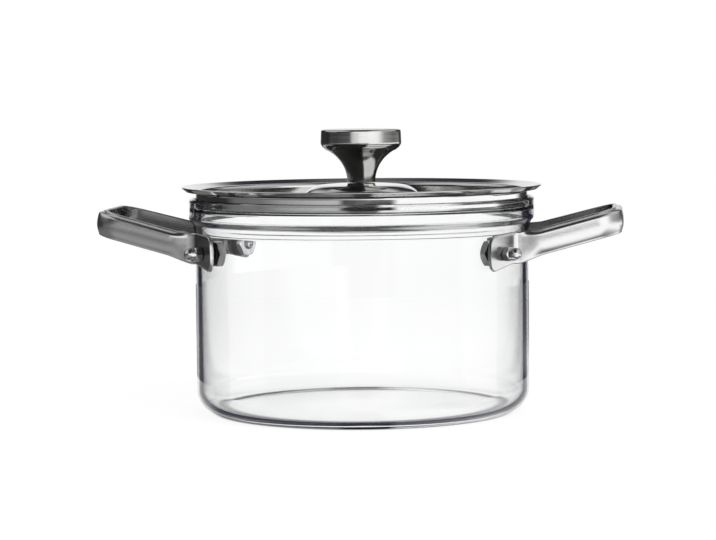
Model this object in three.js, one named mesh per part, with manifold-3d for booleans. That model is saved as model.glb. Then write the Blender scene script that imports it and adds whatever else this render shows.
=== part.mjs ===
// Glass cooking pot: a clear vessel with a stepped rim, a pressed steel drop-in lid with a turned knob,
// and two bent steel strap handles, each bolted through the glass at two flat tabs.
// Millimetres, +Z up. The origin is the centre of the base's underside, and the handles lie along X.

import * as THREE from 'three';
import { mergeVertices } from 'three/addons/utils/BufferGeometryUtils.js';
import Module from 'manifold-3d';

const wasm = await Module();
wasm.setup();

const degrees = THREE.MathUtils.degToRad;

// Vessel
const WALL_RADIUS = 100; // outside of the straight wall
const WALL_THICKNESS = 3.5;
const FLOOR_THICKNESS = 4.5;
const BASE_CORNER = 14.5; // outside radius between base and wall
const RIM_HEIGHT = 128.5; // top of the glass
const RIM_BAND = 11; // straight part of the widened rim
const RIM_STEP = 3.5; // how far the rim stands out from the wall
const RIM_STEP_HEIGHT = 9; // height of the S curve below the band
const RIM_STEP_BEND = 0.5; // share of that height where the curve is steepest
const RIM_THICKNESS = 3.1;
const LID_SEAT_DEPTH = 5.9; // ledge that carries the lid, below the rim's top
const LEDGE_ROUND = 1.6; // rounding of the ledge's inner edge

// Lid
const LID_SHEET = 0.9;
const LID_PLAY = 0.8; // radial play of the skirt in the rim
const LID_DEPTH = 13.1; // from the pan's underside to the top of the lip
const PAN_CORNER = 1.4; // inside radius between the pan's floor and its wall
const LIP_OVERHANG = 8.4; // lip beyond the skirt
const LIP_FLARE = 2.6; // radius of the turn from the skirt into the lip
const LIP_RISE = 2.4; // the lip's top climbs this much to its edge
const LIP_EDGE = 3.2; // height of the hemmed edge
const LIP_UNDERCUT = 2.7; // the hem slants in by this much
const BOSS_RISE = 13.2; // centre boss above the pan's floor
const BOSS_TOP_RADIUS = 22;
const BOSS_FOOT_RADIUS = 46;
const BOSS_CROWN = 0.8;

// Knob
const KNOB_RADIUS = 24.3;
const KNOB_HEIGHT = 32.4;
const KNOB_BAND = 7.2; // upright side of the disc
const KNOB_EDGE = 1.4; // rounding of the disc's top edge
const KNOB_CROWN = 0.5;
const KNOB_BEVEL = 4.8; // height of the slanted underside of the disc
const KNOB_BEVEL_IN = 4.6;
const NECK_RADIUS = 8.4;
const KNOB_BORE_DEPTH = 14;
const WASHER_RADIUS = 7;
const WASHER_THICKNESS = 1.2;
const SCREW_HEAD_RADIUS = 4.6;
const SCREW_HEAD_HEIGHT = 3.2;

// Bolted joints of the handles
const BOLT_DIAMETER = 5;
const BOLT_DROP = 10.7; // below the top of the straight wall
const BOLT_AZIMUTH = degrees(31.5); // to each side of the handle's axis
const HEAD_FLATS = 14.2;
const HEAD_HEIGHT = 4.2;
const HEAD_DOME_RADIUS = 3.6;
const GASKET_FLANGE_RADIUS = 7.4;
const GASKET_FLANGE = 1.6;
const SLEEVE_WALL = 1;
const PAD_RADIUS = 8.2; // outer gasket, hidden behind the tab
const PAD_THICKNESS = 1.3; // at the bolt
const NUT_FLATS = 8;
const NUT_HEX_HEIGHT = 4;
const NUT_LENGTH = 10.2;
const NUT_DOME_RADIUS = 3.7;
const NUT_END_WALL = 2.8; // beyond the end of the nut's bore

// Handle strap
const STRAP_THICKNESS = 2.2;
const STRAP_WIDTH = 15.3;
const STRAP_CROWN = 1.5; // the grip's outer face bulges by this much
const HANDLE_LENGTH = 56.5; // how far the handle stands out from the wall
const HANDLE_CORNER = 14; // plan radius of the loop's outer corners
const ARM_SLOPE = degrees(14.7); // the arms rise outwards
const ARM_CONVERGE = degrees(10); // and draw together
const BEND_RADIUS = 6; // plan radius between tab and arm
const BEND_WIDEN = 2.6; // the strap is this much wider at the bend
const BEND_RUNOUT = 14; // and narrows again over this length of arm
const TAB_FREE_LENGTH = 14.3; // from the bolt to the tab's free end
const TAB_BEND_LENGTH = 10.6; // from the bolt to the bend
const TAB_END_HEIGHT = 21.4;
const TAB_END_DROP = 2.7; // the free end's middle lies below the bend's
const TAB_END_ROUND = 5.5; // length of the rounded free end
const TAB_END_FULLNESS = 2.6; // 2 gives an elliptical end, more a squarer one
const BEND_ABOVE_BOLT = 2.7; // middle of the strap at the bend

// Fits and fineness
const GAP = 0.3; // between pieces that touch
const BORE_CLEAR = 1; // left beyond a screw's end in a blind bore
const WELD = 1e-4;
const ROUND_STEPS = 48; // around the vessel and the lid
const KNOB_STEPS = 28;
const SMALL_STEPS = 12;
const CURVE_STEPS = 4; // along each curve of an outline
const BEND_STEPS = 6; // along each bend of the strap
const SECTION_STEPS = 4; // across the strap's crowned face

// Sizes that follow from those above
const innerRadius = WALL_RADIUS - WALL_THICKNESS;
const rimRadius = WALL_RADIUS + RIM_STEP;
const galleryRadius = rimRadius - RIM_THICKNESS;
const ledgeHeight = RIM_HEIGHT - LID_SEAT_DEPTH;
const bandBottom = RIM_HEIGHT - RIM_BAND;
const stepBottom = bandBottom - RIM_STEP_HEIGHT; // top of the straight wall
const panBottom = ledgeHeight + GAP;
const panFloor = panBottom + LID_SHEET;
const panWall = galleryRadius - LID_PLAY - LID_SHEET; // inside of the skirt
const lipRadius = panWall + LID_SHEET + LIP_OVERHANG;
const lipTop = panBottom + LID_DEPTH;
const bossTop = panFloor + BOSS_RISE;
const knobBase = bossTop + GAP;
const screwHole = BOLT_DIAMETER / 2 + GAP;
const boltHeight = stepBottom - BOLT_DROP;
const padInner = WALL_RADIUS + GAP;
const padOuter = padInner + PAD_THICKNESS;
const tabInner = padOuter + GAP;
const tabMiddle = tabInner + STRAP_THICKNESS / 2;
const nutBase = tabInner + STRAP_THICKNESS + GAP;
const nutBoreEnd = nutBase + NUT_LENGTH - NUT_END_WALL;
const flangeFace = innerRadius - GAP - GASKET_FLANGE;
const headBase = flangeFace - GAP;
const sleeveRadius = screwHole + SLEEVE_WALL;
const glassHole = sleeveRadius + GAP;
const bendTurn = Math.PI / 2 - BOLT_AZIMUTH - ARM_CONVERGE;
const tabFlat = TAB_BEND_LENGTH - BEND_RADIUS * Math.tan(bendTurn / 2); // from the bolt to the bend's start
const bendHeight = boltHeight + BEND_ABOVE_BOLT;
const bendSpan = STRAP_WIDTH / Math.cos(ARM_SLOPE) + BEND_WIDEN;

const material = (colour, roughness, metalness) => () =>
  new THREE.MeshStandardMaterial({ color: colour, roughness, metalness });
const glass = material(0xe9f1ef, 0.03, 0);
const polishedSteel = material(0xc9cacc, 0.16, 1);
const brushedSteel = material(0xb9b8b4, 0.32, 1);
const darkSilicone = material(0x2b2c2e, 0.7, 0);

// Closed solid from a geometry: shared corners are merged and flat triangles dropped.
function toSolid(geometry) {
  geometry.deleteAttribute('normal');
  geometry.deleteAttribute('uv');
  const merged = mergeVertices(geometry, WELD);
  const corners = merged.index.array;
  const triangles = [];
  for (let i = 0; i < corners.length; i += 3) {
    const [a, b, c] = corners.subarray(i, i + 3);
    if (a !== b && b !== c && c !== a) triangles.push(a, b, c);
  }
  return new wasm.Manifold(new wasm.Mesh({
    numProp: 3,
    vertProperties: Float32Array.from(merged.attributes.position.array),
    triVerts: Uint32Array.from(triangles),
  }));
}

function toGeometry(solid) {
  const mesh = solid.getMesh();
  const geometry = new THREE.BufferGeometry();
  geometry.setAttribute('position', new THREE.BufferAttribute(mesh.vertProperties, 3));
  geometry.setIndex(new THREE.BufferAttribute(mesh.triVerts, 1));
  geometry.computeVertexNormals();
  return geometry;
}

// Solid of revolution about Z of an outline of (radius, height) points, which runs counter-clockwise.
function revolve(outline, steps) {
  const geometry = new THREE.LatheGeometry(outline, steps);
  geometry.rotateX(Math.PI / 2);
  return toSolid(geometry);
}

function revolveClosed(outline, steps) {
  return revolve([...outline, outline[0]], steps);
}

const point = (radius, height) => new THREE.Vector2(radius, height);

// Points along a path: the ends of its straight runs and even steps along its curves.
function outlineOf(path) {
  const runs = path.curves.map((curve) => curve.getPoints(curve.isLineCurve ? 1 : CURVE_STEPS));
  return runs.flatMap((points, i) => (i === 0 ? points : points.slice(1)));
}

// Round bar along Z between two heights.
function bar(radius, low, high, steps = SMALL_STEPS) {
  return revolve([point(0, low), point(radius, low), point(radius, high), point(0, high)], steps);
}

// Hexagon bar along Z with the corners of both ends turned off at 30 degrees.
function hexagon(flats, low, high) {
  const corner = flats / Math.sqrt(3);
  const chamfer = (corner - flats / 2) * Math.tan(degrees(30));
  const prism = new THREE.CylinderGeometry(corner, corner, high - low, 6);
  prism.rotateX(Math.PI / 2);
  prism.translate(0, 0, (low + high) / 2);
  const turned = [
    point(0, low),
    point(flats / 2, low),
    point(corner, low + chamfer),
    point(corner, high - chamfer),
    point(flats / 2, high),
    point(0, high),
  ];
  return toSolid(prism).intersect(revolve(turned, SMALL_STEPS));
}

// Points of a quarter ellipse that ends on the axis, for domes.
function quarter(centreHeight, radius, height) {
  const points = [];
  for (let i = 0; i <= CURVE_STEPS; i += 1) {
    const angle = (i / CURVE_STEPS) * Math.PI / 2;
    points.push(point(radius * Math.cos(angle), centreHeight + height * Math.sin(angle)));
  }
  points[CURVE_STEPS].x = 0;
  return points;
}

// The vessel

function vesselOutline() {
  const innerCorner = BASE_CORNER - WALL_THICKNESS;
  const stepBend = stepBottom + RIM_STEP_HEIGHT * RIM_STEP_BEND;
  const rimRound = RIM_THICKNESS / 2;
  const path = new THREE.Path();
  path.moveTo(0, 0);
  path.lineTo(WALL_RADIUS - BASE_CORNER, 0);
  path.absarc(WALL_RADIUS - BASE_CORNER, BASE_CORNER, BASE_CORNER, -Math.PI / 2, 0, false);
  path.lineTo(WALL_RADIUS, stepBottom);
  path.bezierCurveTo(WALL_RADIUS, stepBend, rimRadius, stepBend, rimRadius, bandBottom);
  path.lineTo(rimRadius, RIM_HEIGHT - rimRound);
  path.absarc(rimRadius - rimRound, RIM_HEIGHT - rimRound, rimRound, 0, Math.PI, false);
  path.lineTo(galleryRadius, ledgeHeight);
  path.lineTo(innerRadius + LEDGE_ROUND, ledgeHeight);
  path.absarc(innerRadius + LEDGE_ROUND, ledgeHeight - LEDGE_ROUND, LEDGE_ROUND, Math.PI / 2, Math.PI, false);
  path.lineTo(innerRadius, FLOOR_THICKNESS + innerCorner);
  path.absarc(innerRadius - innerCorner, FLOOR_THICKNESS + innerCorner, innerCorner, 0, -Math.PI / 2, true);
  path.lineTo(0, FLOOR_THICKNESS);
  return outlineOf(path);
}

function vessel() {
  let body = revolve(vesselOutline(), ROUND_STEPS);
  for (const joint of joints) {
    const hole = bar(glassHole, innerRadius - WALL_THICKNESS, WALL_RADIUS + WALL_THICKNESS);
    body = body.subtract(hole.rotate([0, 90, 0]).rotate([0, 0, joint.turn]).translate([0, 0, boltHeight]));
  }
  return toGeometry(body);
}

// The lid

// Upper face of the sheet, from the screw hole out to the lip's edge.
function lidUpperFace() {
  const flareTop = lipTop - LIP_RISE;
  const bossSide = BOSS_FOOT_RADIUS - BOSS_TOP_RADIUS;
  const path = new THREE.Path();
  path.moveTo(screwHole, bossTop);
  path.quadraticCurveTo(BOSS_TOP_RADIUS / 2, bossTop, BOSS_TOP_RADIUS, bossTop - BOSS_CROWN);
  path.bezierCurveTo(
    BOSS_TOP_RADIUS + bossSide * 0.65, bossTop - 2 * BOSS_CROWN,
    BOSS_TOP_RADIUS + bossSide * 0.5, panFloor,
    BOSS_FOOT_RADIUS, panFloor,
  );
  path.lineTo(panWall - PAN_CORNER, panFloor);
  path.absarc(panWall - PAN_CORNER, panFloor + PAN_CORNER, PAN_CORNER, -Math.PI / 2, 0, false);
  path.lineTo(panWall, flareTop - LIP_FLARE);
  path.quadraticCurveTo(panWall, flareTop, panWall + LIP_FLARE, flareTop);
  path.lineTo(lipRadius, lipTop);
  return outlineOf(path);
}

// The same points moved square to the sheet by its thickness, to its lower face.
function sheetUnderside(upper) {
  return upper.map((here, i) => {
    const before = upper[Math.max(i - 1, 0)];
    const after = upper[Math.min(i + 1, upper.length - 1)];
    const along = after.clone().sub(before).normalize();
    return point(here.x + along.y * LID_SHEET, here.y - along.x * LID_SHEET);
  });
}

function lidShell() {
  const upper = lidUpperFace();
  const lower = sheetUnderside(upper);
  lower[0].x = upper[0].x;
  const hem = [
    point(lipRadius - LIP_UNDERCUT, lipTop - LIP_EDGE),
    point(lipRadius, lipTop - LID_SHEET),
  ];
  const outline = [...lower.slice(0, -1), ...hem, ...upper.reverse()];
  return toGeometry(revolveClosed(outline, ROUND_STEPS));
}

function lidKnob() {
  const top = knobBase + KNOB_HEIGHT;
  const discBottom = top - KNOB_EDGE - KNOB_BAND;
  const flareTop = discBottom - KNOB_BEVEL;
  const flareRadius = KNOB_RADIUS - KNOB_BEVEL_IN;
  const neckHeight = flareTop - knobBase;
  const neckBend = NECK_RADIUS + (flareRadius - NECK_RADIUS) / 3;
  const path = new THREE.Path();
  path.moveTo(0, knobBase);
  path.lineTo(NECK_RADIUS, knobBase);
  path.bezierCurveTo(
    NECK_RADIUS, knobBase + neckHeight * 0.4,
    neckBend, knobBase + neckHeight * 0.77,
    flareRadius, flareTop,
  );
  path.quadraticCurveTo(KNOB_RADIUS, discBottom - KNOB_BEVEL / 2, KNOB_RADIUS, discBottom);
  path.lineTo(KNOB_RADIUS, top - KNOB_EDGE);
  path.quadraticCurveTo(KNOB_RADIUS, top - KNOB_CROWN, KNOB_RADIUS - KNOB_EDGE, top - KNOB_CROWN);
  path.quadraticCurveTo(KNOB_RADIUS / 2, top, 0, top);
  const body = revolve(outlineOf(path), KNOB_STEPS);
  return toGeometry(body.subtract(bar(screwHole, knobBase - GAP, knobBase + KNOB_BORE_DEPTH)));
}

const washerTop = bossTop - LID_SHEET - GAP;
const screwSeat = washerTop - WASHER_THICKNESS - GAP;

function knobWasher() {
  const disc = bar(WASHER_RADIUS, washerTop - WASHER_THICKNESS, washerTop, KNOB_STEPS);
  const hole = bar(screwHole, washerTop - 2 * WASHER_THICKNESS, washerTop + WASHER_THICKNESS);
  return toGeometry(disc.subtract(hole));
}

function knobScrew() {
  const dome = quarter(0, SCREW_HEAD_RADIUS, SCREW_HEAD_HEIGHT).map((p) => point(p.x, screwSeat - p.y));
  const head = revolve([...dome.reverse(), point(0, screwSeat)], SMALL_STEPS);
  const end = knobBase + KNOB_BORE_DEPTH - BORE_CLEAR;
  const shank = bar(BOLT_DIAMETER / 2, screwSeat - SCREW_HEAD_HEIGHT / 2, end);
  return toGeometry(head.add(shank));
}

// Bolted joints: built along Z, where the height is the distance from the pot's axis

function bolt() {
  const headEnd = headBase - HEAD_HEIGHT;
  const dome = quarter(0, HEAD_DOME_RADIUS, HEAD_DOME_RADIUS * 0.75).map((p) => point(p.x, headEnd - p.y));
  const back = [point(HEAD_DOME_RADIUS, headBase), point(0, headBase)];
  const domed = revolve([...dome.reverse(), ...back], SMALL_STEPS);
  const shank = bar(BOLT_DIAMETER / 2, headBase - HEAD_HEIGHT / 2, nutBoreEnd - BORE_CLEAR);
  return toGeometry(hexagon(HEAD_FLATS, headEnd, headBase).add(domed).add(shank));
}

// A drum round the pot's own axis, seen from the joint's frame, where that axis lies along X.
function potDrum(radius) {
  return bar(radius, -RIM_HEIGHT, RIM_HEIGHT, 2 * ROUND_STEPS).rotate([0, 90, 0]);
}

function innerGasket() {
  const flange = bar(GASKET_FLANGE_RADIUS, flangeFace, innerRadius, SMALL_STEPS * 2);
  const sleeve = bar(sleeveRadius, flangeFace, WALL_RADIUS);
  const hole = bar(screwHole, flangeFace - GAP, WALL_RADIUS + GAP);
  return toGeometry(flange.intersect(potDrum(innerRadius - GAP)).add(sleeve).subtract(hole));
}

// Washer between wall and tab: flat outside and hollowed to the wall inside.
function outerGasket() {
  const disc = bar(PAD_RADIUS, innerRadius, padOuter, SMALL_STEPS * 2);
  const hole = bar(screwHole, innerRadius - GAP, padOuter + GAP);
  return toGeometry(disc.subtract(potDrum(padInner)).subtract(hole));
}

function capNut() {
  const domeBase = nutBase + NUT_LENGTH - NUT_DOME_RADIUS;
  const dome = quarter(domeBase, NUT_DOME_RADIUS, NUT_DOME_RADIUS);
  const cap = revolve([point(0, nutBase), point(NUT_DOME_RADIUS, nutBase), ...dome], SMALL_STEPS);
  const hex = hexagon(NUT_FLATS, nutBase, nutBase + NUT_HEX_HEIGHT);
  return toGeometry(hex.add(cap).subtract(bar(screwHole, nutBase - GAP, nutBoreEnd)));
}

// The handle

// Closed skin over a row of equal loops of points, with both ends filled.
function loft(loops) {
  const count = loops[0].length;
  const positions = loops.flat().flatMap((p) => [p.x, p.y, p.z]);
  const triangles = [];
  for (let i = 0; i + 1 < loops.length; i += 1) {
    for (let j = 0; j < count; j += 1) {
      const a = i * count + j;
      const b = i * count + ((j + 1) % count);
      triangles.push(a, b, a + count, b, b + count, a + count);
    }
  }
  const last = (loops.length - 1) * count;
  for (let j = 1; j + 1 < count; j += 1) {
    triangles.push(0, j + 1, j, last, last + j, last + j + 1);
  }
  const geometry = new THREE.BufferGeometry();
  geometry.setAttribute('position', new THREE.Float32BufferAttribute(positions, 3));
  geometry.setIndex(triangles);
  return toSolid(geometry);
}

// The tab's plane in plan: along it from the bolt towards the bend, and straight out of the pot.
const tabAlong = new THREE.Vector2(Math.sin(BOLT_AZIMUTH), -Math.cos(BOLT_AZIMUTH));
const tabOut = new THREE.Vector2(Math.cos(BOLT_AZIMUTH), Math.sin(BOLT_AZIMUTH));

function tabPoint(along, radius) {
  return tabOut.clone().multiplyScalar(radius).addScaledVector(tabAlong, along);
}

// Middle height and full height of the tab at a distance along it from the bolt.
function tabSpan(along) {
  const towardsEnd = (tabFlat - along) / (tabFlat + TAB_FREE_LENGTH);
  const fromEnd = Math.min((along + TAB_FREE_LENGTH) / TAB_END_ROUND, 1);
  const rounding = (1 - (1 - fromEnd) ** TAB_END_FULLNESS) ** (1 / TAB_END_FULLNESS);
  return {
    middle: bendHeight - TAB_END_DROP * towardsEnd,
    height: THREE.MathUtils.lerp(bendSpan, TAB_END_HEIGHT, towardsEnd) * rounding,
  };
}

// Places along the tab: close together on the rounded end, then at the bolt.
function tabPlaces() {
  const places = [];
  for (let i = 1; i <= BEND_STEPS; i += 1) {
    places.push(-TAB_FREE_LENGTH + TAB_END_ROUND * (1 - Math.cos((i / BEND_STEPS) * Math.PI / 2)));
  }
  return [...places, 0];
}

// Arc that rounds a corner where the heading turns, as points with their headings.
function arcStations(corner, headingIn, turn, radius) {
  const side = Math.sign(turn);
  const setback = radius * Math.tan(Math.abs(turn) / 2);
  const centreX = corner.x - Math.cos(headingIn) * setback - Math.sin(headingIn) * side * radius;
  const centreY = corner.y - Math.sin(headingIn) * setback + Math.cos(headingIn) * side * radius;
  const stations = [];
  for (let i = 0; i <= BEND_STEPS; i += 1) {
    const heading = headingIn + (turn * i) / BEND_STEPS;
    const x = centreX + Math.sin(heading) * side * radius;
    const y = centreY - Math.cos(heading) * side * radius;
    stations.push({ x, y, heading });
  }
  return stations;
}

// Corners of the strap's section, as shares of its half height and depths from its middle.
function sectionCorners(crown) {
  const corners = [[1, -STRAP_THICKNESS / 2], [-1, -STRAP_THICKNESS / 2]];
  for (let i = 0; i <= SECTION_STEPS; i += 1) {
    const share = -1 + (2 * i) / SECTION_STEPS;
    corners.push([share, STRAP_THICKNESS / 2 + crown * (1 - share * share)]);
  }
  return corners;
}

// Section of the strap at a station; `lean` tells how far it follows the arms' slope.
function strapSection({ x, y, z, heading, lean, height }) {
  const tilt = ARM_SLOPE * lean;
  const across = new THREE.Vector3(-Math.sin(tilt), 0, Math.cos(tilt));
  const along = new THREE.Vector3(Math.cos(heading), Math.sin(heading), Math.tan(tilt) * Math.cos(heading));
  const out = across.clone().cross(along).normalize();
  return sectionCorners(STRAP_CROWN * lean).map(([share, depth]) => new THREE.Vector3(x, y, z)
    .addScaledVector(across, share * height / 2)
    .addScaledVector(out, depth));
}

// Half of the loop, from the free end of the tab at +Y to the start of the outer bar.
function halfLoop() {
  const overhang = Math.max(...sectionCorners(STRAP_CROWN).map(
    ([share, depth]) => depth * Math.cos(ARM_SLOPE) - share * (STRAP_WIDTH / 2) * Math.sin(ARM_SLOPE),
  ));
  const barX = WALL_RADIUS + HANDLE_LENGTH - overhang;
  const bend = tabPoint(TAB_BEND_LENGTH, tabMiddle);
  const barCorner = point(barX, bend.y - (barX - bend.x) * Math.tan(ARM_CONVERGE));
  const tabHeading = BOLT_AZIMUTH - Math.PI / 2;
  const bendArc = arcStations(bend, tabHeading, bendTurn, BEND_RADIUS);
  const barArc = arcStations(barCorner, -ARM_CONVERGE, ARM_CONVERGE - Math.PI / 2, HANDLE_CORNER);
  const armStart = bendArc[BEND_STEPS];
  const armHeight = (x) => bendHeight + (x - armStart.x) * Math.tan(ARM_SLOPE);

  const stations = tabPlaces().map((along) => {
    const { x, y } = tabPoint(along, tabMiddle);
    const { middle, height } = tabSpan(along);
    return { x, y, z: middle, heading: tabHeading, lean: 0, height };
  });
  for (const { x, y, heading } of bendArc) {
    stations.push({ x, y, z: bendHeight, heading, lean: 0, height: bendSpan });
  }
  for (let i = 1; i <= BEND_STEPS; i += 1) {
    const share = i / BEND_STEPS;
    const lean = THREE.MathUtils.smoothstep(share, 0, 1);
    const x = armStart.x + BEND_RUNOUT * share * Math.cos(ARM_CONVERGE);
    const y = armStart.y - BEND_RUNOUT * share * Math.sin(ARM_CONVERGE);
    const height = THREE.MathUtils.lerp(bendSpan, STRAP_WIDTH, lean);
    stations.push({ x, y, z: armHeight(x), heading: -ARM_CONVERGE, lean, height });
  }
  for (const { x, y, heading } of barArc) {
    stations.push({ x, y, z: armHeight(x), heading, lean: 1, height: STRAP_WIDTH });
  }
  return stations;
}

// The same station on the other side of the handle, met on the way back.
function mirrored(station) {
  return { ...station, y: -station.y, heading: -Math.PI - station.heading };
}

function handle() {
  const half = halfLoop();
  let strap = loft([...half, ...half.map(mirrored).reverse()].map(strapSection));
  for (const side of [-1, 1]) {
    const hole = bar(screwHole, tabInner - STRAP_THICKNESS, nutBase + STRAP_THICKNESS).rotate([0, 90, 0]);
    const turned = hole.rotate([0, 0, side * THREE.MathUtils.radToDeg(BOLT_AZIMUTH)]);
    strap = strap.subtract(turned.translate([0, 0, boltHeight]));
  }
  return toGeometry(strap);
}

// Assembly

const joints = [
  { name: 'right_rear', azimuth: BOLT_AZIMUTH },
  { name: 'right_front', azimuth: -BOLT_AZIMUTH },
  { name: 'left_front', azimuth: Math.PI + BOLT_AZIMUTH },
  { name: 'left_rear', azimuth: Math.PI - BOLT_AZIMUTH },
].map((joint) => ({ ...joint, turn: THREE.MathUtils.radToDeg(joint.azimuth) }));

function piece(name, geometry, finish) {
  const mesh = new THREE.Mesh(geometry, finish());
  mesh.name = name;
  return mesh;
}

const pot = new THREE.Group();
pot.add(piece('pot_body', vessel(), glass));

const lid = new THREE.Group();
lid.add(
  piece('lid_shell', lidShell(), polishedSteel),
  piece('lid_knob', lidKnob(), brushedSteel),
  piece('knob_washer', knobWasher(), polishedSteel),
  piece('knob_screw', knobScrew(), polishedSteel),
);
pot.add(lid);

const strap = handle();
for (const [name, turn] of [['handle_right', 0], ['handle_left', Math.PI]]) {
  const mesh = piece(name, strap, polishedSteel);
  mesh.rotation.z = turn;
  pot.add(mesh);
}

const jointPieces = [
  ['bolt', bolt(), polishedSteel],
  ['inner_gasket', innerGasket(), darkSilicone],
  ['outer_gasket', outerGasket(), darkSilicone],
  ['cap_nut', capNut(), polishedSteel],
];
for (const { name, azimuth } of joints) {
  const axis = new THREE.Group(); // its Z runs straight out of the pot along the bolt
  axis.rotation.y = Math.PI / 2;
  for (const [kind, geometry, finish] of jointPieces) {
    axis.add(piece(`${kind}_${name}`, geometry, finish));
  }
  const station = new THREE.Group();
  station.position.z = boltHeight;
  station.rotation.z = azimuth;
  station.add(axis);
  pot.add(station);
}

export default pot;
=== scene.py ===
"""Looks of the glass cooking pot: clear vessel, pressed steel lid, turned knob and bent strap handles.

Lengths are millimetres in the part's frame until a mesh is made, where they become metres. Distances that
materials work with are metres, and say so.
"""

import math

import bpy
from mathutils import Matrix, Vector


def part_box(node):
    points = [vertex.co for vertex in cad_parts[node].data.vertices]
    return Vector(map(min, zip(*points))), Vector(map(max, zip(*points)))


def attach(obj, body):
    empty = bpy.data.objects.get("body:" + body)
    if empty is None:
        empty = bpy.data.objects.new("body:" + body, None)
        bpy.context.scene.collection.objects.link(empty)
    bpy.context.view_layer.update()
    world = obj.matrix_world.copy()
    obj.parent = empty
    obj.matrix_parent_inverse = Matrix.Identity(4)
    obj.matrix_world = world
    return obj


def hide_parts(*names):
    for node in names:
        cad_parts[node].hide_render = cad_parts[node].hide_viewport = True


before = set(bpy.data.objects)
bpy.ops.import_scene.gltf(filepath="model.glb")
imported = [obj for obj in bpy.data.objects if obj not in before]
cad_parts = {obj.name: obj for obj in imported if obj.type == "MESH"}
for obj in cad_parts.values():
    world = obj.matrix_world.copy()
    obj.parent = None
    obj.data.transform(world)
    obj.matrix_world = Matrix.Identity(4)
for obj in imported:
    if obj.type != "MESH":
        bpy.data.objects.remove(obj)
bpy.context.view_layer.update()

MM = 0.001


def node_box(node):
    """Lowest and highest corner of a CAD node in millimetres."""
    low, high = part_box(node)
    return low / MM, high / MM


# Sizes taken from the frame
POT_HIGH = node_box("pot_body")[1]
LID_LOW, LID_HIGH = node_box("lid_shell")
KNOB_LOW, KNOB_HIGH = node_box("lid_knob")
RIM_RADIUS = POT_HIGH.x
RIM_HEIGHT = POT_HIGH.z
PAN_BOTTOM = LID_LOW.z
BOSS_TOP = LID_HIGH.z
LIP_RADIUS = LID_HIGH.x
KNOB_BASE = KNOB_LOW.z
KNOB_TOP = KNOB_HIGH.z
KNOB_RADIUS = KNOB_HIGH.x
HANDLE_REACH = node_box("handle_right")[1].x

# Meshes
GAP = 0.3  # between pieces that touch
FLAT_HOLD = 0.3  # flat runs are held this far from their ends
LONG_RUN = 8 * FLAT_HOLD  # only runs longer than this are held
SAME_POINT = 1e-4  # points closer than this are one
SHARP_ANGLE = 30.0  # edges that turn by more degrees than this are crisp
ROUND_STEPS = 192  # points round the vessel and the lid
KNOB_STEPS = 128
HEX_STEPS = 72
RING_STEPS = 64
SCREW_STEPS = 48
DRILL_STEPS = 40

# Vessel
WALL_RADIUS = 100.0
WALL_THICKNESS = 3.5  # the floor's too
BASE_CORNER = 14.5
BASE_FLAT = WALL_RADIUS - BASE_CORNER  # radius of the base's flat
BASE_HOLD = 1.5  # the base's flat is held this far from its rounded edge
RIM_THICKNESS = 3.1
RIM_BAND = 11.0
RIM_STEP_HEIGHT = 9.0
RIM_STEP_BEND = 0.72  # where the step bends, as a share of its height
RIM_STEP_LEAD = 1.0  # the wall starts to turn this far below the step
RIM_FLARE = 1.1
RIM_FLARE_HEIGHT = 4.0
LEDGE_ROUND = 1.6  # rounding of the ledge's inner edge
LEDGE_CORNER = 0.8  # rounding where the ledge meets the rim
HOLE_RING_IN = 0.5  # two rings of the wall lie this far inside the gaskets' edges
INNER_RADIUS = WALL_RADIUS - WALL_THICKNESS
GALLERY_RADIUS = RIM_RADIUS - RIM_THICKNESS
LEDGE_HEIGHT = PAN_BOTTOM - GAP
BAND_BOTTOM = RIM_HEIGHT - RIM_BAND
STEP_BOTTOM = BAND_BOTTOM - RIM_STEP_HEIGHT

# Lid
SHEET = 0.9
LID_PLAY = 0.8  # radial play of the skirt in the rim
PAN_CORNER = 1.4
LID_DEPTH = 13.1
PAN_FLOOR = PAN_BOTTOM + SHEET
PAN_WALL = GALLERY_RADIUS - LID_PLAY - SHEET
LIP_TOP = PAN_BOTTOM + LID_DEPTH
LIP_FLARE = 2.6
LIP_RISE = 2.4
LIP_EDGE = 3.2
LIP_UNDERCUT = 2.7
LIP_ROUND_IN = 1.0  # the rounding of the lip's edge starts this far in
LIP_ROUND_DOWN = 0.3  # and this far down
HEM_IN = 0.6  # the hem's rounding starts this far in from its corner
HEM_OUT = 0.5  # and ends this far out
HEM_UP = 0.45  # and this far up
BOSS_TOP_RADIUS = 22.0
BOSS_FOOT_RADIUS = 46.0
BOSS_CROWN = 0.8
BOSS_SHOULDER_PULL = 0.65  # curve handle of the slope's top, as a share of the slope's run
BOSS_FOOT_PULL = 0.5  # curve handle of its foot

# Knob, its washer and its screw
KNOB_BAND = 6.5
KNOB_TAPER = 0.25  # the band narrows by this much up to its top
KNOB_EDGE = 2.1
KNOB_CROWN = 0.5
KNOB_BEVEL = 4.8
KNOB_BEVEL_IN = 4.6
BEVEL_LEAD_OUT = 0.4  # the bevel starts this far out from the neck's flare
BEVEL_LEAD_UP = 0.05  # and this far up
NECK_RADIUS = 8.4
NECK_CHAMFER = 0.3
NECK_LOW_PULL = 0.4  # curve handle of the neck's foot, as a share of its height
NECK_HIGH_PULL = 0.77  # curve handle of its flare
KNOB_BORE_DEPTH = 14.0
WASHER_RADIUS = 7.0
WASHER_THICKNESS = 1.2
WASHER_BEVEL = 0.2
WASHER_TOP = BOSS_TOP - SHEET - GAP
WASHER_LOW = WASHER_TOP - WASHER_THICKNESS
SCREW_SEAT = WASHER_LOW - GAP
SCREW_HEAD_RADIUS = 4.6
SCREW_HEAD_HEIGHT = 3.2
SOCKET_FLATS = 2.784  # hexagon socket in the screw's head
SOCKET_DEPTH = 1.4
SOCKET_MOUTH = 2.0  # radius where the head's dome starts

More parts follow.
